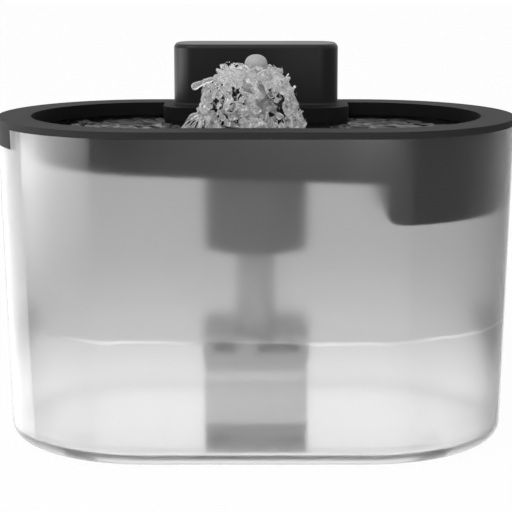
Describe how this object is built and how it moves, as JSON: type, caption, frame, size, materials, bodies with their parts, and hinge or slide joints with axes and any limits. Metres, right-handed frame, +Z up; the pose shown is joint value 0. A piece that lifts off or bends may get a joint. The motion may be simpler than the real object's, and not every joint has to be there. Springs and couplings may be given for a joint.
{
  "type": "pet water fountain",
  "caption": "Free-standing pet drinking fountain: frosted tank, lift-off lid with drinking dish, spout, filter and dry tower, and a submersible pump that hangs from the lid.",
  "frame": {"origin": "centre of the tank's outline, on the surface that the feet stand on", "axes": "+X to the right along the tank, -Y towards the viewer, +Z up"},
  "size_m": [0.23, 0.136, 0.1737],
  "materials": {
    "tank_plastic": "frosted, smoke grey, see-through",
    "soft_pad": "soft matte",
    "charcoal_plastic": "fine satin grain",
    "filter_plastic": "satin",
    "carbon": "granules",
    "fleece": "soft fleece",
    "tower_plastic": "satin gloss",
    "seal_rubber": "soft matte",
    "screw_steel": "plain steel",
    "board_laminate": "green lacquer",
    "connector_plastic": "satin",
    "riser_plastic": "satin",
    "nozzle_plastic": "matte",
    "base_plastic": "satin",
    "cup_rubber": "soft gloss",
    "pump_box_plastic": "satin",
    "sponge": "open foam",
    "pump_plastic": "satin",
    "core_steel": "laminated sheet",
    "winding": "lacquered copper wire",
    "impeller_plastic": "satin",
    "magnet": "sintered ferrite",
    "shaft_ceramic": "polished",
    "lead_jacket": "soft satin"
  },
  "bodies": {
    "tank": {"tank": "tank_plastic", "tank_feet": "soft_pad"},
    "tray_unit": {"tray": "charcoal_plastic", "filter_housing": "charcoal_plastic", "tower_shell": "tower_plastic", "tower_gasket": "seal_rubber", "tower_screws": "screw_steel", "control_board": "board_laminate", "board_screws": "screw_steel", "power_inlet": "connector_plastic", "inlet_seal": "seal_rubber", "riser_tube": "riser_plastic", "riser_seal": "seal_rubber", "riser_sleeve": "charcoal_plastic", "pump_box_base": "base_plastic", "suction_cups": "cup_rubber", "pump_box_body": "pump_box_plastic", "pre_filter_sponge": "sponge", "pump_housing": "pump_plastic", "pump_cover": "pump_plastic", "pump_seal": "seal_rubber", "pump_screws": "screw_steel", "pump_back_cover": "pump_plastic", "stator_core": "core_steel", "coil": "winding", "shaft": "shaft_ceramic", "front_bushing": "seal_rubber", "rear_bushing": "seal_rubber", "pump_lead": "lead_jacket", "lead_grommet": "seal_rubber", "lead_gland": "pump_plastic", "lead_connector": "connector_plastic"},
    "nozzle": {"nozzle": "nozzle_plastic"},
    "filter_cartridge": {"filter_frame": "filter_plastic", "carbon_bed": "carbon", "filter_pad": "fleece"},
    "filter_cover": {"filter_cover": "charcoal_plastic"},
    "strainer_lid": {"strainer_lid": "pump_box_plastic"},
    "impeller": {"impeller": "impeller_plastic", "rotor_magnet": "magnet"}
  },
  "joints": [
    {"name": "lid_lift", "type": "slide", "parent": "tank", "child": "tray_unit", "axis": [0, 0, 1], "range_m": [0, 0.15]},
    {"name": "nozzle_lift", "type": "slide", "parent": "tray_unit", "child": "nozzle", "axis": [0, 0, 1], "range_m": [0, 0.03]},
    {"name": "cartridge_lift", "type": "slide", "parent": "tray_unit", "child": "filter_cartridge", "axis": [0, 0, 1], "range_m": [0, 0.05]},
    {"name": "cover_lift", "type": "slide", "parent": "filter_cartridge", "child": "filter_cover", "axis": [0, 0, 1], "range_m": [0, 0.03]},
    {"name": "strainer_lift", "type": "slide", "parent": "tray_unit", "child": "strainer_lid", "axis": [0, 0, 1], "range_m": [0, 0.03]},
    {"name": "impeller_spin", "type": "hinge", "parent": "tray_unit", "child": "impeller", "pos_m": [0, -0.018, 0.029], "axis": [0, 1, 0], "continuous": true}
  ]
}
